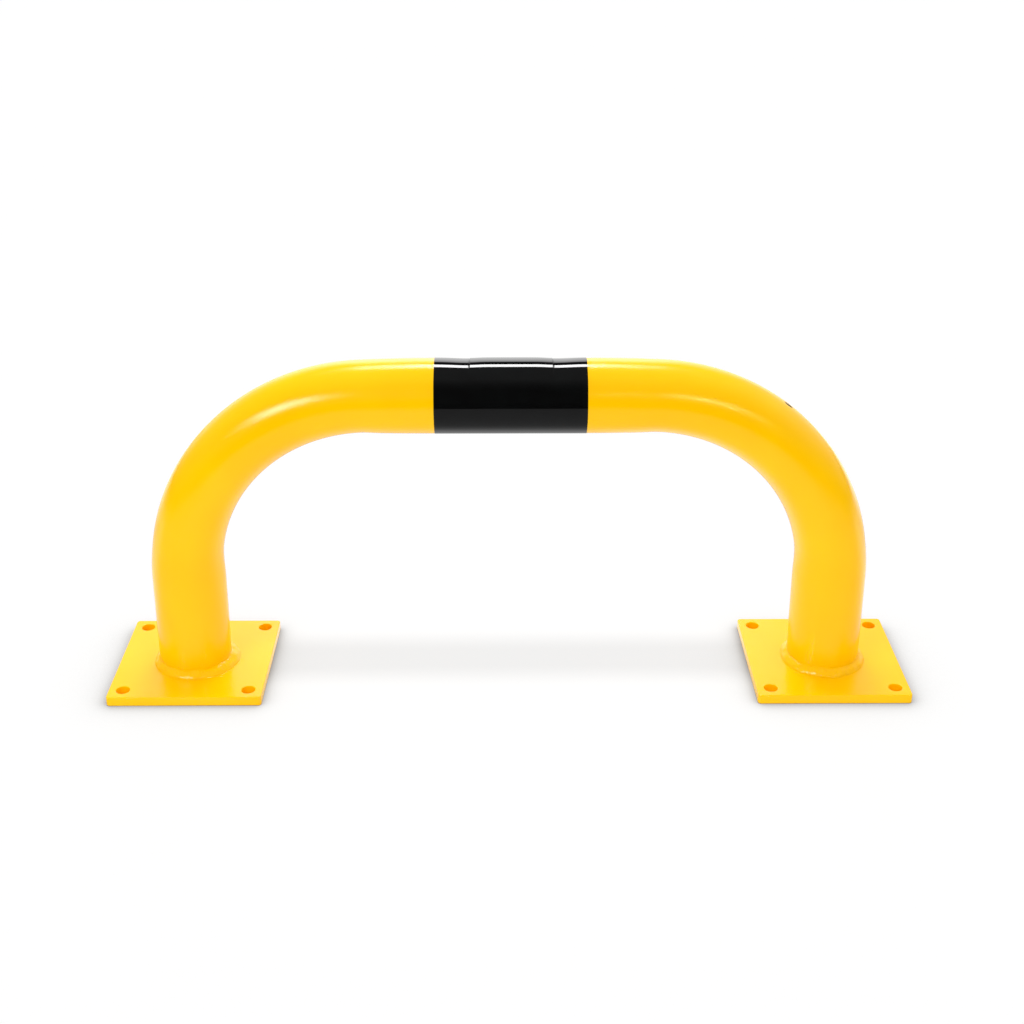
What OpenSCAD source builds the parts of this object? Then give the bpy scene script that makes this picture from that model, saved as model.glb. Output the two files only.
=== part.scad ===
// Steel hoop barrier: a bent tube on two base plates, with a black band on its bar.
//
// Millimetres. X runs along the bar, +Y points away from the viewer, +Z is up.
// The origin is on the floor, midway between the two legs.
// The tube is one length of pipe with two bends. Its cut ends stand on the plates,
// and a fillet weld runs round each foot. The band is thin film round the bar.

/* [Hoop] */
// Width over the outside of both legs
hoop_width = 750; // [620:10:1200]
// Height from the floor to the top of the bar
hoop_height = 350; // [300:10:600]
// Radius of each bend, to the middle of the tube
bend_radius = 195; // [130:5:230]

/* [Tube] */
// Outside diameter of the tube
tube_od = 76.1; // [48.3:0.1:88.9]
// Wall thickness of the tube
tube_wall = 3; // [2:0.1:6]

/* [Base plates] */
// Size of each plate along the bar
plate_width = 160; // [130:5:220]
// Size of each plate across the bar
plate_depth = 160; // [130:5:220]
// Thickness of each plate
plate_thickness = 10; // [6:1:20]
// Radius of the plate's four corners
plate_corner_radius = 3; // [1:0.5:15]

/* [Anchor holes] */
// Diameter of the holes for the floor anchors
hole_diameter = 14; // [9:0.5:20]
// Distance from a hole's centre to the plate's side edge
hole_edge_x = 15; // [12:0.5:25]
// Distance from a hole's centre to the plate's front or back edge
hole_edge_y = 15; // [12:0.5:25]

/* [Welds] */
// Leg length of the fillet weld, up the tube and out over the plate
weld_leg = 7; // [4:0.5:12]
// How far the weld's face bulges beyond a flat one
weld_crown = 0.8; // [0.3:0.1:1.2]

/* [Black band] */
// Length of the band along the bar
band_length = 152; // [40:2:200]
// Thickness of the film
band_thickness = 0.15; // [0.1:0.05:0.6]
// Thickness of the glue between the tube and the film
band_glue = 0.1; // [0.05:0.05:0.3]

/* [Hidden] */
LEFT = -1;
RIGHT = 1;
$fn = 96;

// Colours
SIGNAL_YELLOW = "#FFCC14";
FILM_BLACK = "#121315";

// Where the tube's middle line runs
leg_x = (hoop_width - tube_od) / 2;
bar_z = hoop_height - tube_od / 2;
bend_x = leg_x - bend_radius;
bend_z = bar_z - bend_radius;

// What the weld's round face is drawn with
weld_chord = weld_leg * sqrt(2);
weld_face_radius = weld_chord * weld_chord / (8 * weld_crown) + weld_crown / 2;
weld_face_centre = weld_leg / 2 - (weld_face_radius - weld_crown) / sqrt(2);

// The section of the tube
module tube_section() {
    difference() {
        circle(d = tube_od);
        circle(d = tube_od - 2 * tube_wall);
    }
}

// A straight stretch of tube, from the origin up Z
module straight_tube(length) {
    linear_extrude(height = length) tube_section();
}

// A quarter bend round the origin, from +X up to +Z
module quarter_bend() {
    rotate([90, 0, 0])
        rotate_extrude(angle = 90)
            translate([bend_radius, 0])
                tube_section();
}

// One leg with its bend, as far as the straight bar
module leg_and_bend() {
    translate([leg_x, 0, plate_thickness])
        straight_tube(bend_z - plate_thickness);
    translate([bend_x, 0, bend_z])
        quarter_bend();
}

// The bent pipe, open at both cut ends
module hoop_tube() {
    color(SIGNAL_YELLOW)
        union() {
            leg_and_bend();
            mirror([1, 0, 0]) leg_and_bend();
            translate([-bend_x, 0, bar_z])
                rotate([0, 90, 0])
                    straight_tube(2 * bend_x);
        }
}

// Outline of a plate, centred, with round corners
module plate_outline() {
    reach_x = plate_width / 2 - plate_corner_radius;
    reach_y = plate_depth / 2 - plate_corner_radius;
    square([2 * reach_x, plate_depth], center = true);
    square([plate_width, 2 * reach_y], center = true);
    for (x = [-reach_x, reach_x], y = [-reach_y, reach_y])
        translate([x, y]) circle(r = plate_corner_radius);
}

// A drilled base plate under one leg
module base_plate(side) {
    hole_x = plate_width / 2 - hole_edge_x;
    hole_y = plate_depth / 2 - hole_edge_y;
    color(SIGNAL_YELLOW)
        translate([side * leg_x, 0, 0])
            difference() {
                linear_extrude(height = plate_thickness) plate_outline();
                for (x = [-hole_x, hole_x], y = [-hole_y, hole_y])
                    translate([x, y, -1])
                        cylinder(d = hole_diameter, h = plate_thickness + 2);
            }
}

module left_base_plate() {
    base_plate(LEFT);
}

module right_base_plate() {
    base_plate(RIGHT);
}

// Section of the weld: its corner is where the tube meets the plate
module weld_section() {
    intersection() {
        square(weld_leg);
        translate([weld_face_centre, weld_face_centre])
            circle(r = weld_face_radius);
    }
}

// The fillet weld round one foot
module foot_weld(side) {
    color(SIGNAL_YELLOW)
        translate([side * leg_x, 0, plate_thickness])
            rotate_extrude()
                translate([tube_od / 2, 0])
                    weld_section();
}

module left_weld() {
    foot_weld(LEFT);
}

module right_weld() {
    foot_weld(RIGHT);
}

// The film wrapped round the middle of the bar, off the tube by its glue
module black_band() {
    film_bore = tube_od + 2 * band_glue;
    color(FILM_BLACK)
        translate([-band_length / 2, 0, bar_z])
            rotate([0, 90, 0])
                linear_extrude(height = band_length)
                    difference() {
                        circle(d = film_bore + 2 * band_thickness);
                        circle(d = film_bore);
                    }
}

hoop_tube();
left_base_plate();
right_base_plate();
left_weld();
right_weld();
black_band();
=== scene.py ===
# %% [markdown]
# # A hoop barrier in yellow powder coat
#
# A hoop barrier is one length of round steel tube, bent twice and welded to two drilled plates.
# It is bolted to a floor to keep trucks off a rack or a machine. The whole thing is coated
# yellow, and a sleeve of black film marks the middle of its bar.
#
# The steel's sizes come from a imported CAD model, which is loaded first and never changed.
# Each CAD piece could be shown as it is, but real steel isn't perfect: bends flatten, welds
# ripple and edges are soft. So every piece is made again here with those details, in the
# place of the CAD piece.

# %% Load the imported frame
import math

import bmesh
import bpy
from mathutils import Euler, Matrix, Vector, noise


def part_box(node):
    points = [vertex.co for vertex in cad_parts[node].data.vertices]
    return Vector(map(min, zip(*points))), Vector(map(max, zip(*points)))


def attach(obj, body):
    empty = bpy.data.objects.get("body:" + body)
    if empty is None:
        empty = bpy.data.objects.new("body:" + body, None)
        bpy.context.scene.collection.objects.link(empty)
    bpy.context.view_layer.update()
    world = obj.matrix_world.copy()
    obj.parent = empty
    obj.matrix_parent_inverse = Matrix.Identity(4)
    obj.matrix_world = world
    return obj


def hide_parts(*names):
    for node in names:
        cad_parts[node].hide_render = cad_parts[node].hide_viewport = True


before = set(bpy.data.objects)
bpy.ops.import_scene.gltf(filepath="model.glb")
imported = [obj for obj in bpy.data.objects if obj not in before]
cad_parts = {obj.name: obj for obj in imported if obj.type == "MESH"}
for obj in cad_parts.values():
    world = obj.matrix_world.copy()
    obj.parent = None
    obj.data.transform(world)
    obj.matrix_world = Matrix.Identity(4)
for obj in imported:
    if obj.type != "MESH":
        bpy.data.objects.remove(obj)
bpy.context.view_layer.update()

scene = bpy.context.scene
MM = 0.001


def place_in_scene(name, data):
    """Makes an object of a mesh, a curve, a camera or a lamp, and adds it to the scene."""
    made = bpy.data.objects.new(name, data)
    scene.collection.objects.link(made)
    return made


# %% [markdown]
# ## The camera
#
# The photograph is taken from the front, from about half a metre above the bar, looking down.
# A camera could be moved about by hand until the picture looks right. Here its place was
# worked out from the barrier's known sizes instead: width, height, tube and plates.
# The pitch is how far it looks down. The shift slides the picture a little without tilting
# the upright lines.

# %% Place the camera
PICTURE = 1024
FOCAL_PIXELS = 1577.5
CAMERA_AT = (-9.154, -1475.455, 891.942)
PITCH, YAW, ROLL = 0.39625, 0.00790, 0.00083
CENTRE_LINE = 430
SENSOR = 36
NEAREST, FARTHEST = 0.01, 60


def add_camera():
    data = bpy.data.cameras.new("photo camera")
    data.sensor_width = SENSOR
    data.lens = FOCAL_PIXELS * SENSOR / PICTURE
    data.shift_y = (CENTRE_LINE - PICTURE / 2) / PICTURE
    data.clip_start, data.clip_end = NEAREST, FARTHEST
    camera = place_in_scene("photo camera", data)
    camera.location = Vector(CAMERA_AT) * MM
    aim = Matrix.Rotation(-YAW, 4, "Z") @ Matrix.Rotation(math.pi / 2 - PITCH, 4, "X")
    camera.rotation_euler = (aim @ Matrix.Rotation(ROLL, 4, "Z")).to_euler()
    scene.camera = camera
    return camera


camera = add_camera()
print("lens, mm:", round(camera.data.lens, 1), "shift:", round(camera.data.shift_y, 3))

# %% [markdown]
# ## Small tools for meshes
#
# Three helpers are used all through. One turns points and faces into an object, one smooths
# a value between two limits, and one puts a finished piece in its place: it rides on the
# steel's body, takes its slot's finish and hides the CAD piece that it stands for.

# %% Mesh helpers
def make_piece(name, points, faces):
    """Turns points and faces into an object."""
    mesh = bpy.data.meshes.new(name)
    mesh.from_pydata(points, [], faces)
    mesh.validate()
    return place_in_scene(name, mesh)


def smooth_step(low, high, value):
    """0 up to low, 1 from high on, and a soft S between them."""
    t = min(max((value - low) / (high - low), 0.0), 1.0)
    return t * t * (3 - 2 * t)


def settle(piece, node, material):
    """Gives a piece its material, its body and the CAD piece that it hides."""
    piece.data.materials.clear()
    piece.data.materials.append(material)
    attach(piece, "root")
    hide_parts(node)
    piece.data.calc_loop_triangles()
    print(piece.name, "triangles:", len(piece.data.loop_triangles))


print("a soft step, by quarters:", [smooth_step(0, 1, k / 4) for k in range(5)])

# %% [markdown]
# ## The path of the tube
#
# The tube's middle line goes up the left leg, round a quarter bend, along the bar, round the
# other bend and down the right leg. A curve object with a bevel would make such a tube in one
# step, but it keeps the section round all the way. Here the line is a function of the distance
# along it, so that the section can change where the real one does.
#
# `at` gives the place on the line, `out` points away from the hoop's inside, and `turn` is the
# angle of the line: 90 degrees going up the left leg, 0 along the bar, -90 going down.

# %% Measure the path
plate_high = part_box("left_base_plate")[1]
tube_low, tube_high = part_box("hoop_tube")
TUBE_RADIUS = (tube_high.y - tube_low.y) / 2
BEND_RADIUS = 195 * MM
PLATE_TOP = plate_high.z
LEG_X = tube_high.x - TUBE_RADIUS
BAR_Z = tube_high.z - TUBE_RADIUS
LEG = BAR_Z - BEND_RADIUS - PLATE_TOP
BEND = BEND_RADIUS * math.pi / 2
BAR = 2 * (LEG_X - BEND_RADIUS)
LENGTH = 2 * (LEG + BEND) + BAR


def path_point(s):
    """Place and angle of the middle line, s metres from the left foot."""
    if s > LENGTH / 2:
        at, turn = path_point(LENGTH - s)
        return Vector((-at.x, 0, at.z)), -turn
    if s <= LEG:
        return Vector((-LEG_X, 0, PLATE_TOP + s)), math.pi / 2
    if s <= LEG + BEND:
        turn = math.pi / 2 - (s - LEG) / BEND_RADIUS
        x = BEND_RADIUS * (1 - math.sin(turn)) - LEG_X
        return Vector((x, 0, PLATE_TOP + LEG + BEND_RADIUS * math.cos(turn))), turn
    return Vector((-BAR / 2 + s - LEG - BEND, 0, BAR_Z)), 0.0


print("tube length, mm:", round(LENGTH / MM, 1), "of which bar:", round(BAR / MM, 1))

# %% [markdown]
# ## What bending and handling did to the tube
#
# When a tube is bent, its outer wall stretches and moves in, its inner wall moves in too, and
# the sides bulge a little. The section turns slightly oval. At the bar's ends this starts
# slowly, some 56 mm before the bend, where the bending tool gripped the tube. The middle of the
# bar stands a third of a millimetre higher than its ends. The bar also has two shallow hollows
# in its top, where something once pressed on it; they show as dips in the bar's outline and in
# its highlight.
#
# All of it is written as changes to the section, at a distance along the tube and at an angle
# round it. The angle is 0 on the outside of the hoop, which is the top of the bar, and goes
# round to the front. Distances are in metres and flattenings are shares of the radius.

# %% Section of the tube
OUTER_FLAT = 0.033
INNER_FLAT = 0.047
SIDE_BULGE = 0.020
OVAL_AT_LEG = (-0.010, 0.035)
OVAL_AT_BAR = (-0.008, 0.016)
GRIPPED = 0.056
CROWN = 0.0003
HOLLOWS = (-0.0413, 0.0427)
BAND_MIDDLE = 0.0010
HOLLOW_DEPTH = 0.0010
HOLLOW_INNER = 0.0100
HOLLOW_OUTER = 0.0180
HOLLOW_LIP = 0.0030
HOLLOW_STEP = 0.0010
INNER_SHARE = 0.6
HOLLOW_SPREAD = math.radians(46)
HOLLOW_ANGLE = math.radians(-25)


def bend_share(s):
    """0 on straight tube, 1 in a bend."""
    s = min(s, LENGTH - s)
    start = smooth_step(LEG + OVAL_AT_LEG[0], LEG + OVAL_AT_LEG[1], s)
    end = smooth_step(LEG + BEND + OVAL_AT_BAR[0], LEG + BEND + OVAL_AT_BAR[1], s)
    slow = smooth_step(LEG + BEND, LEG + BEND + GRIPPED, s)
    return start * (1 - (end + slow) / 2)


def hollow(s, angle):
    """How deep the two hollows are at a place on the bar."""
    x = s - LENGTH / 2 - BAND_MIDDLE
    depth = 0.0
    for place in HOLLOWS:
        inward = (place - x) * math.copysign(1, place)
        inner = INNER_SHARE * math.exp(-(max(inward, 0) / HOLLOW_INNER) ** 2)
        outer = math.exp(-((min(inward, 0) + HOLLOW_LIP) / HOLLOW_OUTER) ** 2)
        share = smooth_step(0, HOLLOW_STEP, inward)
        depth += HOLLOW_DEPTH * (inner * share + outer * (1 - share))
    return depth * math.exp(-((angle - HOLLOW_ANGLE) / HOLLOW_SPREAD) ** 2)


def section_point(s, angle, radius):
    """Point on the tube's skin at a distance along and an angle round it."""
    at, turn = path_point(s)
    out = Vector((-math.sin(turn), 0, math.cos(turn)))
    share = bend_share(s)
    flat = OUTER_FLAT if math.cos(angle) > 0 else INNER_FLAT
    wrapped = (angle + math.pi) % (2 * math.pi) - math.pi
    radius = radius - hollow(s, wrapped)
    rise = radius * math.cos(angle) * (1 - share * flat)
    side = radius * math.sin(angle) * (1 + share * SIDE_BULGE)
    rise += CROWN * smooth_step(LEG + BEND, LEG + BEND + GRIPPED, min(s, LENGTH - s))
    return at + rise * out - side * Vector((0, 1, 0))


outside, front, inside, back = [section_point(LEG + BEND / 2, math.pi / 2 * k, TUBE_RADIUS)
                                for k in range(4)]
print("section of a bend, mm:", round((outside - inside).length / MM, 2), "by",
      round((front - back).length / MM, 2))

# %% [markdown]
# ## Sweeping a skin
#
# A tube has two skins, one outside and one inside, joined by a ring at each end. `sleeve`
# makes such a closed shape between two distances along the path: rings of points, with faces
# between neighbouring rings. The rings stand closer together in the bends and at the hollows
# than on straight tube, so that curves stay smooth without wasting faces.

# %% Build sleeves
ROUND = 96
TUBE_WALL = 3 * MM
STRAIGHT_STEP, BEND_STEP = 0.009, 0.003
BEND_MARGIN = (0.015, 0.020)
HOLLOW_REACH, HOLLOW_RINGS = 0.04, 0.0015
CREASE_REACH, CREASE_RINGS = 0.0018, 0.0002
SHORTEST_STEP = 0.0008
SHARP = math.radians(50)


def ring_places(start, end):
    """Distances along the path at which a sleeve has its rings."""
    places = [start]
    while places[-1] < end:
        s = min(places[-1], LENGTH - places[-1])
        bent = LEG - BEND_MARGIN[0] < s < LEG + BEND + BEND_MARGIN[1]
        step = BEND_STEP if bent else STRAIGHT_STEP
        near = min(abs(places[-1] - LENGTH / 2 - h - BAND_MIDDLE) for h in HOLLOWS)
        if near < HOLLOW_REACH:
            step = CREASE_RINGS if near < CREASE_REACH else HOLLOW_RINGS
        places.append(min(places[-1] + step, end))
    if places[-1] - places[-2] < SHORTEST_STEP:
        del places[-2]
    return places


def sleeve(name, start, end, outer, inner):
    """A closed sleeve on the path. outer and inner are radii, or functions of s and angle."""
    places = ring_places(start, end)
    angles = [2 * math.pi * k / ROUND for k in range(ROUND)]
    points, faces = [], []
    for radius in (outer, inner):
        for s in places:
            for angle in angles:
                r = radius(s, angle) if callable(radius) else radius
                points.append(section_point(s, angle, r))
    rings = len(places)
    for skin in range(2):
        for ring in range(rings - 1):
            base = (skin * rings + ring) * ROUND
            for k in range(ROUND):
                n = (k + 1) % ROUND
                quad = (base + k, base + n, base + ROUND + n, base + ROUND + k)
                faces.append(quad if skin else quad[::-1])
    for ring, flip in ((0, False), (rings - 1, True)):
        one, two = ring * ROUND, (rings + ring) * ROUND
        for k in range(ROUND):
            n = (k + 1) % ROUND
            quad = (one + k, one + n, two + n, two + k)
            faces.append(quad[::-1] if flip else quad)
    piece = make_piece(name, points, faces)
    piece.data.shade_smooth()
    piece.data.set_sharp_from_angle(angle=SHARP)
    return piece


tube = sleeve("hoop_tube_steel", 0, LENGTH, TUBE_RADIUS, TUBE_RADIUS - TUBE_WALL)
print("rings on the tube:", len(ring_places(0, LENGTH)))

# %% [markdown]
# ## The black film
#
# The band is thin film with glue on its back, wrapped once round the bar. It could be painted
# on as a change of colour, but film has its own thickness, its own mirror-like gloss and a
# crisp edge, so it is a sleeve of its own. It is made by the same function as the tube and
# follows the same hollows. Over each hollow the film has a fine crease, which breaks the
# line of light on it. Its two ends lap over each other under the bar.

# %% Wrap the film
band_low, band_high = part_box("black_band")
BAND_HALF = (band_high.x - band_low.x) / 2
GLUE = 0.1 * MM
FILM = 0.15 * MM
CREASE_HALF = 0.9 * MM
CREASE_DEPTH = 0.20 * MM
CREASE_ANGLE = math.radians(20)
CREASE_SPREAD = math.radians(32)
LAP_ANGLE = math.radians(200)
LAP_WIDTH = math.radians(12)
LAP_RISE = 0.6 * FILM


def film_outside(s, angle):
    """Radius of the film's face, with its creases and its lap."""
    x = s - LENGTH / 2 - BAND_MIDDLE
    crease = sum(max(0, 1 - abs(x - h) / CREASE_HALF) for h in HOLLOWS)
    off = (angle - CREASE_ANGLE + math.pi) % (2 * math.pi) - math.pi
    crease *= math.exp(-(off / CREASE_SPREAD) ** 2)
    lap = LAP_RISE * smooth_step(LAP_WIDTH, LAP_WIDTH * 0.9, abs(angle - LAP_ANGLE))
    return TUBE_RADIUS + GLUE + FILM - CREASE_DEPTH * crease + lap


middle = LENGTH / 2 + BAND_MIDDLE
band = sleeve("black_film_band", middle - BAND_HALF, middle + BAND_HALF,
              film_outside, TUBE_RADIUS + GLUE * 0.5)
print("film length, mm:", round(2 * BAND_HALF / MM, 1))

# %% [markdown]
# ## The base plates
#
# Each foot is a square of 10 mm steel plate with four holes for floor anchors. Its edges were
# ground and then rounded off a little more by the coating. The outline and the holes are drawn
# as closed curves, because Blender fills the space between nested curves by itself, and its
# bevel rounds the rims of the outline and of the holes in one go.

# %% Make the plates
PLATE_CORNER = 3.5 * MM
RIM = 0.9 * MM
HOLE_RADIUS = 7 * MM
HOLE_FROM_EDGE = 15 * MM
CORNER_STEPS = 10
HOLE_STEPS = 64
RIM_STEPS = 3


def outline_points(half_x, half_y, corner):
    """A rectangle with round corners, as a ring of points."""
    points = []
    for k, (sx, sy) in enumerate(((1, 1), (-1, 1), (-1, -1), (1, -1))):
        for step in range(CORNER_STEPS + 1):
            angle = math.pi / 2 * (k + step / CORNER_STEPS)
            points.append((sx * (half_x - corner) + corner * math.cos(angle),
                           sy * (half_y - corner) + corner * math.sin(angle)))
    return points


def circle_points(x, y, radius):
    turns = [2 * math.pi * k / HOLE_STEPS for k in range(HOLE_STEPS)]
    return [(x + radius * math.cos(t), y + radius * math.sin(t)) for t in turns]


def base_plate(name, node):
    low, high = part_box(node)
    centre, half = (low + high) / 2, (high - low) / 2
    curve = bpy.data.curves.new(name, "CURVE")
    curve.dimensions, curve.fill_mode = "2D", "BOTH"
    curve.extrude = half.z - RIM
    curve.bevel_depth, curve.bevel_resolution, curve.offset = RIM, RIM_STEPS, -RIM
    hole_x, hole_y = half.x - HOLE_FROM_EDGE, half.y - HOLE_FROM_EDGE
    loops = [outline_points(half.x, half.y, PLATE_CORNER)]
    for sx in (-1, 1):
        for sy in (-1, 1):
            loops.append(circle_points(sx * hole_x, sy * hole_y, HOLE_RADIUS))
    for loop in loops:
        spline = curve.splines.new("POLY")
        spline.points.add(len(loop) - 1)
        for point, (x, y) in zip(spline.points, loop):
            point.co = (x, y, 0, 1)
        spline.use_cyclic_u = True
    drawn = place_in_scene(name + " drawing", curve)
    filled = drawn.evaluated_get(bpy.context.evaluated_depsgraph_get())
    mesh = bpy.data.meshes.new_from_object(filled)
    bpy.data.objects.remove(drawn)
    bm = bmesh.new()
    bm.from_mesh(mesh)
    bmesh.ops.remove_doubles(bm, verts=bm.verts, dist=0.01 * MM)
    bmesh.ops.recalc_face_normals(bm, faces=bm.faces)
    bmesh.ops.translate(bm, verts=bm.verts, vec=centre)
    bm.to_mesh(mesh)
    bm.free()
    mesh.name = name
    mesh.shade_smooth()
    piece = place_in_scene(name, mesh)
    soften = piece.modifiers.new("flat faces stay flat", "WEIGHTED_NORMAL")
    soften.keep_sharp = True
    return piece


plates = [base_plate("left_plate_steel", "left_base_plate"),
          base_plate("right_plate_steel", "right_base_plate")]
print("plate points:", len(plates[0].data.vertices))

# %% [markdown]
# ## The welds
#
# A fillet weld fills the corner between tube and plate. It was laid in small steps, so its face
# is a row of ripples, its width wanders, and its toes meet the steel unevenly. A torus would
# look like a rubber ring. Here each slice of the bead has its own size, from a few widths round
# the foot, in millimetres. Its face bulges, with low lumps some 8 mm long, a finer roughness on
# them, and faint ripples that bow backwards as a moving weld pool leaves them. Both toes sink
# half a millimetre into the steel, so that no gap shows.

# %% Lay the beads
SLICES = 360
FACE_POINTS = 14
RIPPLE_PITCH = 3.4 * MM
RIPPLE = 0.10 * MM
RIPPLE_BOW = 2.2
RIPPLE_WANDER = 0.8
LUMP = 0.75 * MM
LUMP_PITCH = 8 * MM
SPATTER = 0.24 * MM
SPATTER_PITCH = 2.6 * MM
BULGE = 1.15 * MM
FULLNESS = 0.7
SUNK = 0.5 * MM
TOE = 6
RISE = 7.4
RISE_WANDER, RISE_TURNS = 1.2, 3
WIDTH_WANDER, WIDTH_TURNS = 0.10, 5
WELD_SHARP = math.radians(60)
LEFT_WIDTHS = (9.6, 7.8, 7.0, 6.4, 5.0, 6.6, 8.8, 9.4)
RIGHT_WIDTHS = (6.4, 7.0, 7.2, 6.6, 6.2, 7.6, 8.6, 7.4)


def round_value(values, angle):
    """A smooth value round a circle, from evenly spaced ones."""
    place = angle / (2 * math.pi) * len(values)
    first = int(place) % len(values)
    share = smooth_step(0, 1, place - int(place))
    return values[first] * (1 - share) + values[(first + 1) % len(values)] * share


middle_of_bead = TUBE_RADIUS + 4 * MM
ripples = round(2 * math.pi * middle_of_bead / RIPPLE_PITCH)


def weld_bead(name, node, widths, seed):
    """A closed ring of slices; seed picks the bead's own lumps."""
    low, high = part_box(node)
    centre = (low + high) / 2
    points, faces = [], []
    for k in range(SLICES):
        angle = 2 * math.pi * k / SLICES
        ray = Vector((math.cos(angle), math.sin(angle), 0))
        wander = noise.noise(Vector((seed, WIDTH_TURNS * math.cos(angle),
                                     WIDTH_TURNS * math.sin(angle))))
        width = round_value(widths, angle) * MM * (1 + WIDTH_WANDER * wander)
        climb = noise.noise(Vector((seed + 9, RISE_TURNS * ray.x, RISE_TURNS * ray.y)))
        rise = (RISE + RISE_WANDER * climb) * MM
        spot = ray * (TUBE_RADIUS / LUMP_PITCH)
        grain = ray * (TUBE_RADIUS / SPATTER_PITCH)
        for j in range(FACE_POINTS):
            t = j / (FACE_POINTS - 1)
            bow = RIPPLE_BOW * (1 - (2 * t - 1) ** 2)
            wave = math.sin(ripples * angle - bow + RIPPLE_WANDER * wander)
            lump = noise.noise(Vector((seed + t, spot.x + t, spot.y - t)))
            rough = noise.noise(Vector((seed + 3 * t, grain.x, grain.y + 3 * t)))
            proud = math.sin(math.pi * t) ** FULLNESS
            lift = proud * (BULGE + RIPPLE * wave + LUMP * lump + SPATTER * rough)
            r = TUBE_RADIUS + width * t + lift * math.sqrt(0.5) - SUNK * (1 - t) ** TOE
            z = PLATE_TOP + rise * (1 - t) + lift * math.sqrt(0.5) - SUNK * t ** TOE
            points.append(Vector((centre.x, centre.y, 0)) + ray * r + Vector((0, 0, z)))
        root = ray * (TUBE_RADIUS - SUNK) + Vector((centre.x, centre.y, PLATE_TOP - SUNK))
        points.append(root)
    count = FACE_POINTS + 1
    for k in range(SLICES):
        here, there = k * count, ((k + 1) % SLICES) * count
        for j in range(count):
            n = (j + 1) % count
            faces.append((here + j, here + n, there + n, there + j))
    piece = make_piece(name, points, faces)
    piece.data.shade_smooth()
    piece.data.set_sharp_from_angle(angle=WELD_SHARP)
    return piece


welds = [weld_bead("left_weld_bead", "left_weld", LEFT_WIDTHS, 3.1),
         weld_bead("right_weld_bead", "right_weld", RIGHT_WIDTHS, 7.7)]
print("ripples round a foot:", ripples)

# %% [markdown]
# ## Small tools for materials
#
# Colours are written as the hex values that a colour picker shows, and one function turns them
# into the linear numbers that light is reckoned in. Another adds one shader node, with its
# settings and its links, which keeps each material readable from top to bottom. Three more are
# built on it: a sum, a mix of two values and a ramp.

# %% Material helpers
def linear(hex_colour):
    """Red, green, blue and alpha in linear light."""
    values = [int(hex_colour[k:k + 2], 16) / 255 for k in (1, 3, 5)]
    return [v / 12.92 if v <= 0.04045 else ((v + 0.055) / 1.055) ** 2.4 for v in values] + [1.0]


def add(tree, kind, inputs=None, **settings):
    """Adds a shader node. inputs holds values, or outputs of other nodes to link from."""
    made = tree.nodes.new("ShaderNode" + kind)
    for name, value in settings.items():
        setattr(made, name, value)
    for name, value in (inputs or {}).items():
        if isinstance(value, bpy.types.NodeSocket):
            tree.links.new(value, made.inputs[name])
        else:
            made.inputs[name].default_value = value
    return made


def maths(tree, operation, *values):
    """A sum on numbers or on other nodes' outputs."""
    return add(tree, "Math", dict(enumerate(values)), operation=operation).outputs["Value"]


def blend(tree, share, one, two, kind="FLOAT"):
    """Goes from one to two as share goes from 0 to 1; kind is RGBA for colours."""
    first, second, result = (6, 7, 2) if kind == "RGBA" else (2, 3, 0)
    made = add(tree, "Mix", {"Factor": share, first: one, second: two}, data_type=kind)
    return made.outputs[result]


def ramp(tree, value, stops):
    """Stops are places from 0 to 1, each with a hex colour or a brightness."""
    made = add(tree, "ValToRGB", {"Fac": value})
    elements = made.color_ramp.elements
    while len(elements) < len(stops):
        elements.new(0.5)
    for element, (position, look) in zip(elements, stops):
        element.position = position
        element.color = linear(look) if isinstance(look, str) else (look, look, look, 1)
    return made.outputs["Color"]


def new_material(name):
    material = bpy.data.materials.new(name)
    material.use_nodes = True
    material.node_tree.nodes.clear()
    return material, material.node_tree


print("yellow in linear light:", [round(v, 3) for v in linear("#FABF00")[:3]])

# %% [markdown]
# ## Yellow powder coat
#
# Powder coat is dry paint that is sprayed on as dust and melted in an oven. It flows into a
# tough gloss skin, much thicker than wet paint. Its IOR is that of polyester resin, about 1.5,
# and its roughness is low, about 0.13, because the melted skin itself is smooth. What spreads
# the highlights is the orange peel, waves of about a millimetre that tilt the skin to and fro.
# The coat also pools a little thicker in some places, which changes its colour slightly.
#
# An image could carry the marks, but noise at a real scale does it for all sides at once. A
# small chip on the outside of the right bend shows dark bare steel. It is a ball of space,
# stretched along the tube and ragged by noise, in which the paint is replaced.

# %% Mix the powder coat
PAINT_THIN, PAINT_THICK = "#F9BB00", "#FCC200"
NOISE_LOW, NOISE_HIGH = 0.3, 0.7
PEEL_WAVE = 0.9 * MM
PEEL_HEIGHT = 0.110 * MM
POOL_WAVE = 90 * MM
SMOOTHEST, ROUGHEST = 0.115, 0.14
RESIN_IOR = 1.5
BARE_STEEL = "#0D0B09"
CHIP_TURN = math.radians(37)
CHIP_ANGLE = math.radians(3)
CHIP_RADIUS = 2.4 * MM
CHIP_LENGTH = 2.1
CHIP_DEPTH = 0.15 * MM
CHIP_WAVE = 1.5 * MM
CHIP_WIDEST, CHIP_NARROWEST = 1.4 * CHIP_RADIUS, 0.6 * CHIP_RADIUS


def chip_place():
    """Where the chip is, on the outside of the right bend, and which way the tube runs there."""
    s = LEG + BEND + BAR + BEND_RADIUS * CHIP_TURN
    turn = path_point(s)[1]
    return section_point(s, CHIP_ANGLE, TUBE_RADIUS), Vector((math.cos(turn), 0, math.sin(turn)))


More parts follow.
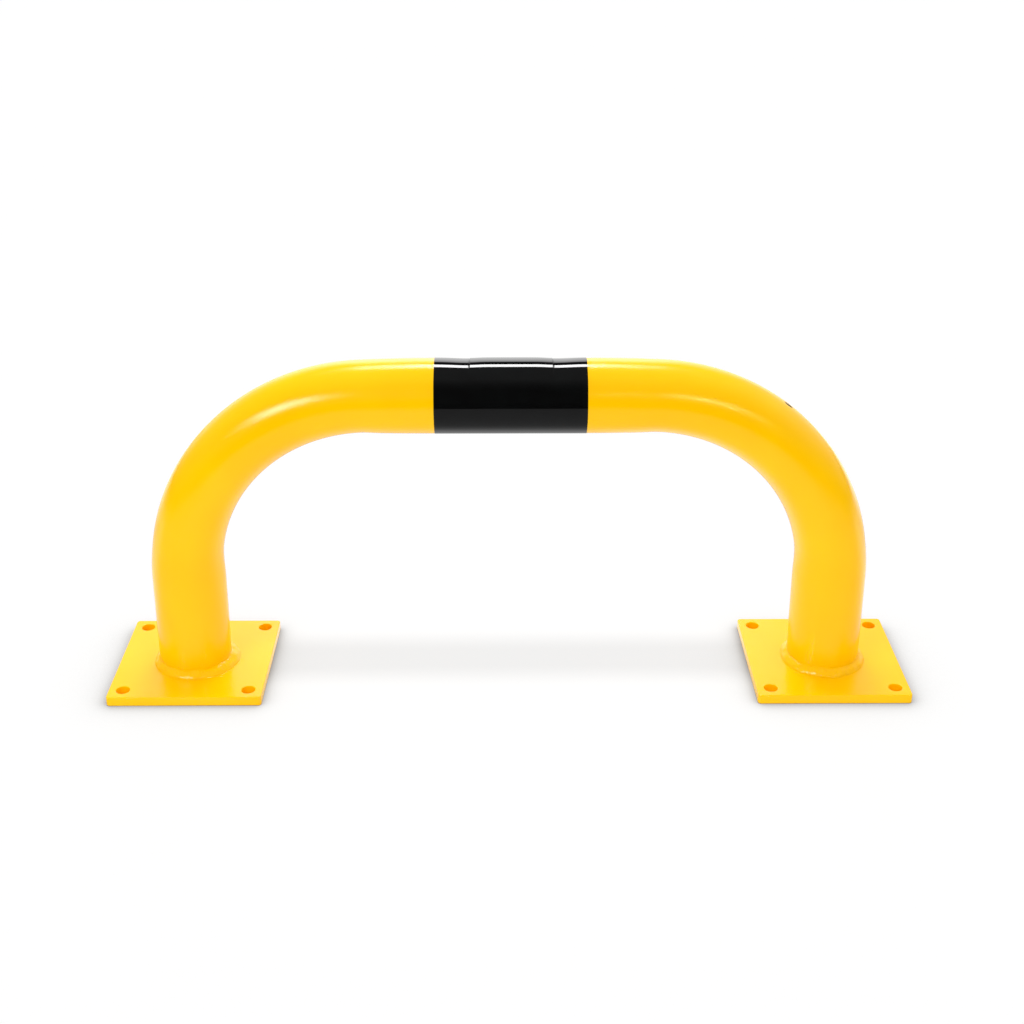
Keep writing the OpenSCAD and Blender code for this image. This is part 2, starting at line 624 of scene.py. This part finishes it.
def powder_coat():
    material, tree = new_material("yellow powder coat")
    place = add(tree, "TexCoord").outputs["Object"]
    pool = add(tree, "TexNoise", {"Vector": place, "Scale": 1 / POOL_WAVE, "Detail": 2.0})
    coat = ramp(tree, pool.outputs["Fac"], ((NOISE_LOW, PAINT_THIN), (NOISE_HIGH, PAINT_THICK)))
    peel = add(tree, "TexNoise", {"Vector": place, "Scale": 1 / PEEL_WAVE, "Detail": 1.0})
    skin = add(tree, "Bump", {"Height": peel.outputs["Fac"], "Distance": PEEL_HEIGHT})
    gloss = add(tree, "MapRange", {
        "Value": pool.outputs["Fac"], "From Min": NOISE_LOW, "From Max": NOISE_HIGH,
        "To Min": SMOOTHEST, "To Max": ROUGHEST})
    middle, along = chip_place()
    offset = add(tree, "VectorMath", {0: place, 1: middle}, operation="SUBTRACT")
    run = add(tree, "VectorMath", {0: offset.outputs["Vector"], 1: along},
              operation="DOT_PRODUCT")
    spare = maths(tree, "MULTIPLY", run.outputs["Value"], 1 - 1 / CHIP_LENGTH)
    taken = add(tree, "VectorMath", {0: along, "Scale": spare}, operation="SCALE")
    away = add(tree, "VectorMath", {0: offset.outputs["Vector"], 1: taken.outputs["Vector"]},
               operation="DISTANCE")
    ragged = add(tree, "TexNoise", {"Vector": place, "Scale": 1 / CHIP_WAVE, "Detail": 2.0})
    reach = add(tree, "MapRange", {"Value": ragged.outputs["Fac"], "To Min": CHIP_WIDEST,
                                   "To Max": CHIP_NARROWEST})
    chipped = maths(tree, "LESS_THAN", away.outputs["Value"], reach.outputs["Result"])
    colour = blend(tree, chipped, coat, linear(BARE_STEEL), "RGBA")
    rough = blend(tree, chipped, gloss.outputs["Result"], 1.0)
    edge = add(tree, "Bump", {"Height": chipped, "Distance": CHIP_DEPTH,
                              "Normal": skin.outputs["Normal"]}, invert=True)
    surface = add(tree, "BsdfPrincipled", {"Base Color": colour, "Roughness": rough,
                                           "IOR": RESIN_IOR, "Normal": edge.outputs["Normal"]})
    add(tree, "OutputMaterial", {"Surface": surface.outputs["BSDF"]})
    return material


yellow = powder_coat()
print("peel wave, mm:", PEEL_WAVE / MM, "chip at, mm:", [round(v / MM) for v in chip_place()[0]])

# %% [markdown]
# ## Black film
#
# The film is soft vinyl (PVC) with a cast gloss face, stuck down wet and pressed smooth. It
# mirrors the room sharply, so its roughness is far lower than the powder coat's: lamps show
# as crisp lines on it. Pressing leaves very long, very low waves that bend those lines a
# little. A plain black would look like a hole in the picture, so its base is just above black
# and slightly blue.

# %% Mix the film
FILM_WAVE = 18 * MM
FILM_WAVE_HEIGHT = 0.015 * MM
FILM_DARK, FILM_PALE = "#070708", "#090A0B"
DUST = 4 * MM
FILM_SMOOTHEST, FILM_ROUGHEST = 0.03, 0.04
VINYL_IOR = 1.54


def black_film():
    material, tree = new_material("black vinyl film")
    place = add(tree, "TexCoord").outputs["Object"]
    wave = add(tree, "TexNoise", {"Vector": place, "Scale": 1 / FILM_WAVE, "Detail": 1.0})
    pressed = add(tree, "Bump", {"Height": wave.outputs["Fac"], "Distance": FILM_WAVE_HEIGHT})
    tint = ramp(tree, wave.outputs["Fac"], ((NOISE_LOW, FILM_DARK), (NOISE_HIGH, FILM_PALE)))
    dust = add(tree, "TexNoise", {"Vector": place, "Scale": 1 / DUST, "Detail": 3.0})
    gloss = add(tree, "MapRange", {
        "Value": dust.outputs["Fac"], "From Min": NOISE_LOW, "From Max": NOISE_HIGH,
        "To Min": FILM_SMOOTHEST, "To Max": FILM_ROUGHEST})
    surface = add(tree, "BsdfPrincipled", {
        "Base Color": tint, "Roughness": gloss.outputs["Result"], "IOR": VINYL_IOR,
        "Normal": pressed.outputs["Normal"]})
    add(tree, "OutputMaterial", {"Surface": surface.outputs["BSDF"]})
    return material


film = black_film()
print("film wave, mm:", FILM_WAVE / MM)

# %% [markdown]
# ## Put the pieces in place
#
# Every piece rides on the one steel body and hides the CAD piece that it stands for.

# %% Settle the pieces
settle(tube, "hoop_tube", yellow)
for plate, node in zip(plates, ("left_base_plate", "right_base_plate")):
    settle(plate, node, yellow)
for weld, node in zip(welds, ("left_weld", "right_weld")):
    settle(weld, node, yellow)
settle(band, "black_band", film)
barrier = [tube, band] + plates + welds
print("pieces in place:", len(barrier))

# %% [markdown]
# ## The floor
#
# The barrier stands on a sheet of white paper in a studio. The camera sees the floor as plain
# white with a painted soft shade close to the plates, where less of the room's light reaches,
# and a soft shade under the bar. The barrier's gloss sees the same sheet from low down as a
# painted glow: dim in front, and brighter behind, a painted pool of light for where the big
# lamp would light it, most of all to the left and right. So the floor has one look for the
# camera and another for light that bounces. Each of its levels is written as stops: a place in
# metres, and the level there.
#
# The shade near the plates is found by the Ambient Occlusion node, which asks how much of the
# sky above a point is covered nearby. A power makes it deeper outside the plates than between
# them. The shade under the bar comes from a sun above it that lights the floor alone.
# Beyond the edges of the sheet the studio is dark. Close to the plates the floor's glow is
# dimmed, a painted shade; close to their inner sides it is painted brighter, a painted light
# that those sides mirror and which gives them their pale look. Inside the anchor holes the
# covered floor glows deep orange: a painted glow that stands in for light going to and fro
# between the coated walls, and gives that colour to the walls.

# %% Lay the floor
FLOOR_HALF = 9.0
FLOOR_LIGHT = 1.46
SEEN_GLOW = 0.85
PAPER = (0.13, 0.13, 0.13, 1)
# Colour of a painted glow from the floor under the plates, for light bounced inside the holes.
PAINTED_HOLE_BOUNCE_GLOW = "#FFB400"
PLATE_HALF = plate_high.y
SHADE_REACH = 0.07
SHADE_RAYS = 12
SHADE_POWER = ((0.0, 1.1), (0.235, 1.1), (0.262, 1.4), (0.405, 1.4), (0.425, 1.95), (1.2, 1.95))
SHEET_FRONT = -0.93
SHEET_SIDE = 1.65
# The painted pool of light: the floor's glow from front to back, raised towards the sides.
PAINTED_SHEET_LIGHT = ((-0.93, 0.24), (-0.25, 0.28), (-0.07, 0.32), (0.0, 0.48), (0.06, 0.69),
               (0.11, 0.77), (0.15, 0.75), (0.22, 0.65), (0.3, 0.60), (0.4, 0.72),
               (0.55, 0.92), (0.7, 1.02), (1.2, 1.0), (1.6, 0.90), (2.6, 0.90))
SIDE_GAIN = ((-1.6, 0.0), (-0.8, 0.15), (-0.5, 0.5), (-0.4, 0.35), (-0.3, 0.2), (-0.2, 0.08),
             (-0.1, 0.0), (0.1, 0.0), (0.13, 0.3), (0.16, 0.6), (0.2, 0.4), (0.26, 0.15),
             (0.32, 0.2), (0.4, 0.45), (0.6, 0.5), (1.6, 0.3))
GAIN_BEHIND = ((-0.10, 0.0), (0.02, 0.5), (0.13, 0.8), (0.18, 1.0), (0.25, 1.0), (0.32, 0.5),
               (0.45, 0.6), (0.7, 1.1), (2.0, 1.1))
# Painted shade: the floor's glow is dimmed under and close to the plates.
PAINTED_SHADE_ROUND_PLATES = ((-0.01, 0.0), (0.0, 0.0), (0.0005, 0.72), (0.03, 1.0))
# Painted light: the floor's glow is raised beside the plates' inner sides, which mirror it.
PAINTED_GLOW_BESIDE_PLATES = ((0.0, 1.2), (0.008, 0.9), (0.02, 0.0))
GAP_REACH = 0.02
TOP_LEVEL = 2.0


def spread(tree, value, stops):
    """A ramp for stops at any places, not only from 0 to 1, and for levels up to 2."""
    low, high = stops[0][0], stops[-1][0]
    share = add(tree, "MapRange", {"Value": value, "From Min": low, "From Max": high})
    level = ramp(tree, share.outputs["Result"],
                 [((place - low) / (high - low), v / TOP_LEVEL) for place, v in stops])
    return maths(tree, "MULTIPLY", level, TOP_LEVEL)


def floor_material():
    material, tree = new_material("white paper floor")
    rays = add(tree, "LightPath")
    cover = add(tree, "AmbientOcclusion", {"Distance": SHADE_REACH}, samples=SHADE_RAYS)
    place = add(tree, "SeparateXYZ", {"Vector": add(tree, "NewGeometry").outputs["Position"]})
    x, y = place.outputs["X"], place.outputs["Y"]
    aside, deep = maths(tree, "ABSOLUTE", x), maths(tree, "ABSOLUTE", y)
    shade = maths(tree, "POWER", cover.outputs["AO"], spread(tree, aside, SHADE_POWER))
    glow = add(tree, "Emission", {"Strength": maths(tree, "MULTIPLY", shade, SEEN_GLOW)})
    paper = add(tree, "BsdfDiffuse", {"Color": PAPER})
    seen = add(tree, "AddShader", {0: glow.outputs["Emission"], 1: paper.outputs["BSDF"]})
    from_leg = maths(tree, "ABSOLUTE", maths(tree, "SUBTRACT", aside, LEG_X))
    from_plate = maths(tree, "SUBTRACT", maths(tree, "MAXIMUM", from_leg, deep), PLATE_HALF)
    on_sheet = maths(tree, "MULTIPLY", maths(tree, "GREATER_THAN", y, SHEET_FRONT),
                     maths(tree, "LESS_THAN", aside, SHEET_SIDE))
    # Share of the floor's glow: none beyond the sheet, and a painted shade round the plates.
    open_floor_painted_shade = maths(tree, "MULTIPLY", on_sheet, spread(tree, from_plate, PAINTED_SHADE_ROUND_PLATES))
    covered = maths(tree, "LESS_THAN", from_plate, 0.0)
    between = maths(tree, "MULTIPLY", maths(tree, "LESS_THAN", aside, LEG_X - PLATE_HALF),
                    maths(tree, "LESS_THAN", deep, PLATE_HALF + GAP_REACH))
    # Painted light: a brighter floor glow beside the plates' inner sides.
    painted_glow_beside = maths(tree, "MULTIPLY_ADD", spread(tree, from_plate, PAINTED_GLOW_BESIDE_PLATES), between, 1.0)
    # Painted pool of light on the floor, which the barrier's gloss mirrors.
    gain = maths(tree, "MULTIPLY_ADD", spread(tree, x, SIDE_GAIN),
                 spread(tree, y, GAIN_BEHIND), painted_glow_beside)
    shine = maths(tree, "MULTIPLY", spread(tree, y, PAINTED_SHEET_LIGHT), gain)
    mirrored = add(tree, "Emission", {"Strength": maths(tree, "MULTIPLY", shine, open_floor_painted_shade)})
    # For matt bounces the open floor glows at one level, a painted stand-in for light off the
    # paper.
    lifted = add(tree, "Emission", {"Strength": maths(tree, "MULTIPLY", open_floor_painted_shade,
                                                      FLOOR_LIGHT)})
    # Painted glow: the covered floor glows orange in place of light bounced between the holes'
    # walls.
    painted_hole_glow = add(tree, "Emission", {"Color": linear(PAINTED_HOLE_BOUNCE_GLOW), "Strength": covered})
    soft = add(tree, "AddShader", {0: lifted.outputs["Emission"],
                                   1: painted_hole_glow.outputs["Emission"]})
    sheet = add(tree, "MixShader", {"Fac": rays.outputs["Is Diffuse Ray"],
                                    1: mirrored.outputs["Emission"],
                                    2: soft.outputs["Shader"]})
    both = add(tree, "MixShader", {"Fac": rays.outputs["Is Camera Ray"],
                                   1: sheet.outputs["Shader"], 2: seen.outputs["Shader"]})
    add(tree, "OutputMaterial", {"Surface": both.outputs["Shader"]})
    material.cycles.emission_sampling = "NONE"
    return material


corners = [(x * FLOOR_HALF, y * FLOOR_HALF, 0) for x, y in ((-1, -1), (1, -1), (1, 1), (-1, 1))]
floor = make_piece("floor", corners, [(0, 1, 2, 3)])
floor.data.materials.append(floor_material())
print("floor, m:", 2 * FLOOR_HALF)

# %% [markdown]
# ## The room
#
# The world stands for the studio round the barrier. The camera sees it as white, which gives
# the plain background. All other light sees the room itself, because gloss is only as good as
# what it mirrors. A photograph of a studio could serve, but a few broad patches do the same:
# each has a strength, levels round the room and levels from the floor up, and the three are
# multiplied. A lit wall stands behind the barrier. It fades to both sides and, by a patch that
# takes light away, to its upper corners, and its foot is brighter off the middle. Weaker panels
# stand left and right, and the ceiling glows faintly. In front, where the photographer stands,
# it is dark. That darkness gives the tube its deep colour and the film its black.
#
# Angles are in degrees. Round the room, 0 is straight behind the barrier and positive is to
# the right. Upwards, 0 is the horizon.

# %% Build the room
PATCHES = {
    "lit wall": (2.4, ((-180, 0), (-48, 0), (-38, .04), (-30, .12), (-20, .42), (-13.5, .54),
                        (-10, .85), (0, 1), (9, .7), (13, .42), (20, .3), (30, .08), (42, 0),
                        (180, 0)),
                 ((0, .62), (8, .72), (20, 1), (28, .98), (32, .88), (34.8, .72), (36, .3),
                  (36.8, 0), (90, 0))),
    "foot of the wall": (1.12, ((-180, 0), (-75, 0), (-58, .2), (-50, .6), (-40, .95), (-30, 1),
                               (-18, .6), (0, 0), (18, .6), (30, .9), (42, .95), (52, .65),
                               (62, .35), (90, 0), (180, 0)),
                         ((0, 1), (7, .7), (14, .4), (21, .22), (30, .1), (45, 0), (90, 0))),
    "side panels": (0.56, ((-180, 0), (-115, 0), (-100, .12), (-80, .24), (-50, .32), (-30, .14),
                          (-15, 0), (15, 0), (35, .3), (55, .9), (75, .95), (88, .65),
                          (105, .3), (125, 0), (180, 0)),
                    ((0, .2), (7, .3), (14, .7), (20, 1), (28, .9), (35, .8), (45, .55),
                     (60, .3), (75, 0), (90, 0))),
    "dark upper corners": (-0.8, ((-180, 0), (-40, 0), (-30, .2), (-20, .5), (-14, 1), (-9, 1),
                                  (-5, 0), (5, 0), (9, .5), (15, .68), (22, .4), (40, 0),
                                  (180, 0)),
                           ((0, 0), (25, 0), (28.5, 1), (31, 1), (33, .6), (36, .2), (36.6, 0),
                            (90, 0))),
    "ceiling": (0.136, ((-180, 1), (180, 1)),
                ((0, .06), (37, .06), (52, .3), (62, .65), (72, 1), (90, 1))),
}


def build_room():
    """Adds up the patches in every direction and makes them the world's light."""
    world = bpy.data.worlds.new("studio room")
    scene.world = world
    world.use_nodes = True
    tree = world.node_tree
    tree.nodes.clear()
    rays = add(tree, "LightPath")
    way = add(tree, "SeparateXYZ", {"Vector": add(tree, "TexCoord").outputs["Generated"]})
    turned = maths(tree, "ARCTAN2", way.outputs["X"], way.outputs["Y"])
    turned = maths(tree, "DEGREES", turned)
    raised = maths(tree, "DEGREES", maths(tree, "ARCSINE", way.outputs["Z"]))
    level = 0.0
    for strength, around, upward in PATCHES.values():
        patch = maths(tree, "MULTIPLY", spread(tree, turned, around),
                      spread(tree, raised, upward))
        level = maths(tree, "MULTIPLY_ADD", patch, strength, level)
    seen = blend(tree, rays.outputs["Is Camera Ray"], level, 1.0)
    shine = add(tree, "Background", {"Color": (1, 1, 1, 1), "Strength": seen})
    add(tree, "OutputWorld", {"Surface": shine.outputs["Background"]})
    world.cycles.sampling_method = "NONE"


build_room()
print("patches of light:", list(PATCHES))

# %% [markdown]
# ## The lamps
#
# Three soft boxes make the highlights. A long one hangs behind and above the hoop and draws
# the white line along the top of the bar. A large one to the front left draws the crescent on
# the left bend. A low, weak and rather yellow one to the front right draws the thin streak on
# the right bend. They light only the barrier, so that the floor stays clean. All hang 2.4 m
# from the bar. Each is written by its direction and its size as seen from there, in degrees,
# and its brightness is that of its face. A soft box has its tubes in the middle, so its face
# fades towards both ends.
#
# Two suns without gloss stand for the rest of the room's light on the matt colour: one comes
# from all round and above, and one from high behind. A third one, narrow and nearly straight
# above, lights the floor alone and leaves the shade under the bar.

# %% Hang the lamps
AIM = Vector((0, 0, 0.34))
BOX_DISTANCE = 2.4


def fade_ends(data, angles):
    """Makes a lamp's face darker towards its two ends: angles are degrees and levels."""
    data.use_nodes = True
    tree = data.node_tree
    tree.nodes.clear()
    face = add(tree, "SeparateXYZ", {"Vector": add(tree, "NewGeometry").outputs["Parametric"]})
    away = maths(tree, "ABSOLUTE", maths(tree, "SUBTRACT", face.outputs["X"], 0.5))
    half = math.tan(math.radians(angles[-1][0]))
    level = ramp(tree, away, [(math.tan(math.radians(a)) / half / 2, v) for a, v in angles])
    shine = add(tree, "Emission", {"Strength": level})
    add(tree, "OutputLight", {"Surface": shine.outputs["Emission"]})


def soft_box(name, azimuth, height, width, tall, glow, fade, colour="#FFFFFF"):
    """azimuth in degrees from the camera's side towards +X, height above the horizon."""
    a, h = math.radians(azimuth), math.radians(height)
    way = Vector((math.sin(a) * math.cos(h), -math.cos(a) * math.cos(h), math.sin(h)))
    data = bpy.data.lights.new(name, "AREA")
    data.shape = "RECTANGLE"
    data.size = 2 * BOX_DISTANCE * math.tan(math.radians(width / 2))
    data.size_y = 2 * BOX_DISTANCE * math.tan(math.radians(tall / 2))
    data.energy = glow * math.pi * data.size * data.size_y
    data.color = linear(colour)[:3]
    fade_ends(data, fade)
    lamp = place_in_scene(name, data)
    lamp.location = AIM + way * BOX_DISTANCE
    lamp.rotation_euler = (-way).to_track_quat("-Z", "Y").to_euler()
    lamp.visible_camera = False
    lamp.light_linking.receiver_collection = steel


def lit_group(name, objects):
    """A collection for a lamp that lights nothing else."""
    group = bpy.data.collections.new(name)
    for item in objects:
        group.objects.link(item)
    return group


steel = lit_group("lit by the soft boxes", barrier)
soft_box("long box behind", 181.3, 57.0, 58, 11.5, 16,
         ((0, 1.0), (5, 1.0), (8, 0.52), (11, 0.14), (16, 0.05), (22, 0.02), (29, 0.0)))
soft_box("big box left", -40, 28.2, 48, 10.2, 16,
         ((0, 1.0), (4, 1.0), (7, 0.8), (10, 0.5), (13, 0.27), (16, 0.13), (18, 0.08),
          (21, 0.03), (24, 0.0)), "#FFFFF0")
soft_box("weak box right", 28.5, 24.0, 38, 2.0, 31,
         ((0, 1.0), (4, 1.0), (8, 0.8), (11, 0.6), (14, 0.4), (17, 0.15), (19, 0.0)), "#FFFCA8")


def matt_sun(name, light, spread_angle, tilt, lit):
    """A sun for matt colour that draws no highlight; tilt leans it backwards, in degrees."""
    data = bpy.data.lights.new(name, "SUN")
    data.energy, data.angle = light * math.pi, math.radians(spread_angle)
    lamp = place_in_scene(name, data)
    lamp.rotation_euler = Euler((math.radians(-tilt), 0, 0))
    lamp.visible_glossy = False
    lamp.light_linking.receiver_collection = lit


matt_sun("soft light from all round", 0.73, 180, 8, steel)
matt_sun("soft light from high behind", 0.31, 60, 35, steel)
matt_sun("shade under the bar", 1.0, 8, -2.8, lit_group("lit from above", [floor]))

# %% [markdown]
# ## Finish
#
# The picture keeps colours as they are written.

# %% Finish
scene.view_settings.view_transform = "Standard"
